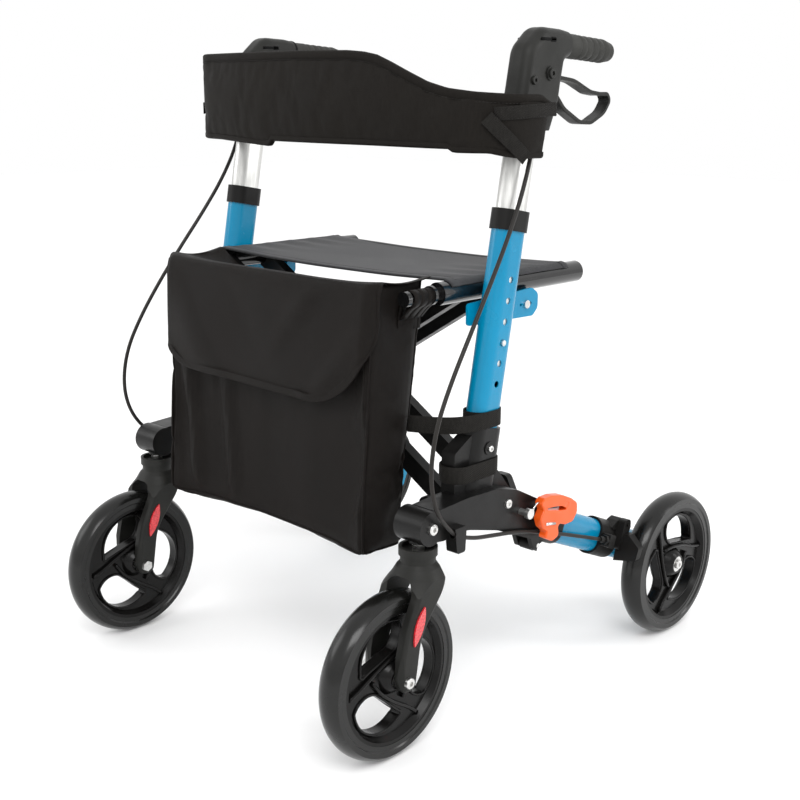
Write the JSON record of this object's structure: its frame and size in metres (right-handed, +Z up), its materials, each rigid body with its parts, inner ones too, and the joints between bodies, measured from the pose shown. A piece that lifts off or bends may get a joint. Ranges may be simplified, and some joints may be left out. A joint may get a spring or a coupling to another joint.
{
  "type": "rollator walker",
  "caption": "Folding four-wheeled walking frame with sling seat, hanging bag, backrest band, height-adjustable handles and loop cable brakes.",
  "frame": {"origin": "on the floor, below the middle of the object's box", "axes": "+Z up, -Y to the front (bag side), +X to the user's left side frame"},
  "size_m": [0.6308, 0.72, 0.8121],
  "materials": {
    "blue_tube": "gloss powder coat",
    "silver_tube": "satin anodised",
    "black_casting": "black semi-gloss coat",
    "black_rail": "gloss black coat",
    "black_plastic": "moulded, fine texture",
    "grey_plastic": "moulded, fine texture",
    "wheel_plastic": "glossy moulded",
    "tyre": "glossy polyurethane",
    "steel": "zinc plated",
    "reflector": "red prismatic",
    "orange_latch": "glossy moulded",
    "grip_rubber": "ribbed",
    "cable_jacket": "smooth",
    "seat_fabric": "woven nylon",
    "bag_fabric": "woven nylon",
    "band_fabric": "padded neoprene"
  },
  "bodies": {
    "frame_left": {"post_tube_left": "blue_tube", "post_collar_left": "black_plastic", "side_casting_left": "black_casting", "seat_bracket_left": "blue_tube", "frame_screws_left": "steel", "brake_cable_upper_left": "cable_jacket", "brake_cable_lower_left": "cable_jacket"},
    "caster_left": {"caster_fork_left": "grey_plastic", "caster_stem_left": "steel", "fork_reflector_left": "reflector", "front_axle_left": "steel"},
    "front_wheel_left": {"front_tyre_left": "tyre", "front_rim_left": "wheel_plastic"},
    "rear_leg_left": {"rear_leg_tube_left": "blue_tube", "leg_sleeve_left": "black_plastic", "brake_bracket_left": "black_plastic", "rear_axle_left": "steel"},
    "rear_wheel_left": {"rear_tyre_left": "tyre", "rear_rim_left": "wheel_plastic"},
    "brake_arm_left": {"brake_arm_left": "black_plastic"},
    "latch_left": {"latch_lever_left": "orange_latch"},
    "handle_left": {"handle_tube_left": "silver_tube", "handle_housing_left": "grey_plastic", "grip_left": "grip_rubber", "backrest": "band_fabric"},
    "brake_lever_left": {"brake_lever_left": "grey_plastic"},
    "snap_button_left": {"snap_button_left": "steel"},
    "frame_right": {"post_tube_right": "blue_tube", "post_collar_right": "black_plastic", "side_casting_right": "black_casting", "seat_bracket_right": "blue_tube", "frame_screws_right": "steel", "brake_cable_upper_right": "cable_jacket", "brake_cable_lower_right": "cable_jacket"},
    "caster_right": {"caster_fork_right": "grey_plastic", "caster_stem_right": "steel", "fork_reflector_right": "reflector", "front_axle_right": "steel"},
    "front_wheel_right": {"front_tyre_right": "tyre", "front_rim_right": "wheel_plastic"},
    "rear_leg_right": {"rear_leg_tube_right": "blue_tube", "leg_sleeve_right": "black_plastic", "brake_bracket_right": "black_plastic", "rear_axle_right": "steel"},
    "rear_wheel_right": {"rear_tyre_right": "tyre", "rear_rim_right": "wheel_plastic"},
    "brake_arm_right": {"brake_arm_right": "black_plastic"},
    "latch_right": {"latch_lever_right": "orange_latch"},
    "handle_right": {"handle_tube_right": "silver_tube", "handle_housing_right": "grey_plastic", "grip_right": "grip_rubber"},
    "brake_lever_right": {"brake_lever_right": "grey_plastic"},
    "snap_button_right": {"snap_button_right": "steel"},
    "cross_a": {"cross_frame_a": "black_casting", "seat_rail_right": "black_rail", "cross_bolts": "steel", "seat_sling": "seat_fabric"},
    "cross_b": {"cross_frame_b": "black_casting", "seat_rail_left": "black_rail"},
    "bag": {"bag": "bag_fabric"}
  },
  "joints": [
    {"name": "frame_fold", "type": "hinge", "parent": "frame_left", "child": "cross_a", "pos_m": [0.208, 0, 0.262], "axis": [0, 1, 0], "range_deg": [0, 50], "deforming": ["seat_sling", "bag", "backrest"]},
    {"name": "cross_turn", "type": "hinge", "parent": "cross_a", "child": "cross_b", "pos_m": [0, 0, 0.38942], "axis": [0, 1, 0], "range_deg": [-100, 0]},
    {"name": "frame_right_turn", "type": "hinge", "parent": "cross_b", "child": "frame_right", "pos_m": [-0.208, 0, 0.262], "axis": [0, 1, 0], "range_deg": [0, 50]},
    {"name": "bag_turn", "type": "hinge", "parent": "cross_b", "child": "bag", "pos_m": [0.205, 0, 0.515], "axis": [0, 1, 0], "range_deg": [0, 50]},
    {"name": "caster_swivel_left", "type": "hinge", "parent": "frame_left", "child": "caster_left", "pos_m": [0.249, -0.212, 0.245], "axis": [0, 0, 1], "continuous": true},
    {"name": "front_wheel_spin_left", "type": "hinge", "parent": "caster_left", "child": "front_wheel_left", "pos_m": [0.249, -0.26, 0.1], "axis": [1, 0, 0], "continuous": true},
    {"name": "rear_leg_fold_left", "type": "hinge", "parent": "frame_left", "child": "rear_leg_left", "pos_m": [0.254, -0.01185, 0.19144], "axis": [-1, 0, 0], "range_deg": [0, 90], "deforming": ["brake_cable_lower_left"]},
    {"name": "rear_wheel_spin_left", "type": "hinge", "parent": "rear_leg_left", "child": "rear_wheel_left", "pos_m": [0.2955, 0.26, 0.1], "axis": [1, 0, 0], "continuous": true},
    {"name": "brake_arm_turn_left", "type": "hinge", "parent": "rear_leg_left", "child": "brake_arm_left", "pos_m": [0.277, 0.17235, 0.17427], "axis": [1, 0, 0], "range_deg": [0, 4.2]},
    {"name": "latch_open_left", "type": "hinge", "parent": "rear_leg_left", "child": "latch_left", "pos_m": [0.285, 0.012, 0.226], "axis": [1, 0, 0], "range_deg": [0, 75]},
    {"name": "handle_slide_left", "type": "slide", "parent": "frame_left", "child": "handle_left", "axis": [0, 0.1819, 0.9833], "range_m": [-0.049, 0.0735], "deforming": ["brake_cable_upper_left", "snap_button_left"]},
    {"name": "brake_lever_squeeze_left", "type": "hinge", "parent": "handle_left", "child": "brake_lever_left", "pos_m": [0.238, -0.004, 0.761], "axis": [1, 0, 0], "range_deg": [0, 10], "stiffness_Nm_per_rad": 4, "springref_deg": -2.86},
    {"name": "snap_button_press_left", "type": "slide", "parent": "handle_left", "child": "snap_button_left", "axis": [-1, 0, 0], "range_m": [0, 0.004], "stiffness_N_per_m": 800, "springref_m": -0.001},
    {"name": "caster_swivel_right", "type": "hinge", "parent": "frame_right", "child": "caster_right", "pos_m": [-0.249, -0.212, 0.245], "axis": [0, 0, 1], "continuous": true},
    {"name": "front_wheel_spin_right", "type": "hinge", "parent": "caster_right", "child": "front_wheel_right", "pos_m": [-0.249, -0.26, 0.1], "axis": [1, 0, 0], "continuous": true},
    {"name": "rear_leg_fold_right", "type": "hinge", "parent": "frame_right", "child": "rear_leg_right", "pos_m": [-0.254, -0.01185, 0.19144], "axis": [-1, 0, 0], "range_deg": [0, 90], "deforming": ["brake_cable_lower_right"]},
    {"name": "rear_wheel_spin_right", "type": "hinge", "parent": "rear_leg_right", "child": "rear_wheel_right", "pos_m": [-0.2955, 0.26, 0.1], "axis": [1, 0, 0], "continuous": true},
    {"name": "brake_arm_turn_right", "type": "hinge", "parent": "rear_leg_right", "child": "brake_arm_right", "pos_m": [-0.277, 0.17235, 0.17427], "axis": [1, 0, 0], "range_deg": [0, 4.2]},
    {"name": "latch_open_right", "type": "hinge", "parent": "rear_leg_right", "child": "latch_right", "pos_m": [-0.285, 0.012, 0.226], "axis": [1, 0, 0], "range_deg": [0, 75]},
    {"name": "handle_slide_right", "type": "slide", "parent": "frame_right", "child": "handle_right", "axis": [0, 0.1819, 0.9833], "range_m": [-0.049, 0.0735], "deforming": ["brake_cable_upper_right", "snap_button_right"]},
    {"name": "brake_lever_squeeze_right", "type": "hinge", "parent": "handle_right", "child": "brake_lever_right", "pos_m": [-0.238, -0.004, 0.761], "axis": [1, 0, 0], "range_deg": [0, 10], "stiffness_Nm_per_rad": 4, "springref_deg": -2.86},
    {"name": "snap_button_press_right", "type": "slide", "parent": "handle_right", "child": "snap_button_right", "axis": [1, 0, 0], "range_m": [0, 0.004], "stiffness_N_per_m": 800, "springref_m": -0.001}
  ],
  "couplings": [
    {"joint": "cross_turn", "follows": "frame_fold", "ratio": -2},
    {"joint": "frame_right_turn", "follows": "frame_fold", "ratio": 1},
    {"joint": "bag_turn", "follows": "frame_fold", "ratio": 1},
    {"joint": "brake_arm_turn_left", "follows": "brake_lever_squeeze_left", "ratio": 0.42},
    {"joint": "brake_arm_turn_right", "follows": "brake_lever_squeeze_right", "ratio": 0.42},
    {"joint": "handle_slide_right", "follows": "handle_slide_left", "ratio": 1}
  ]
}
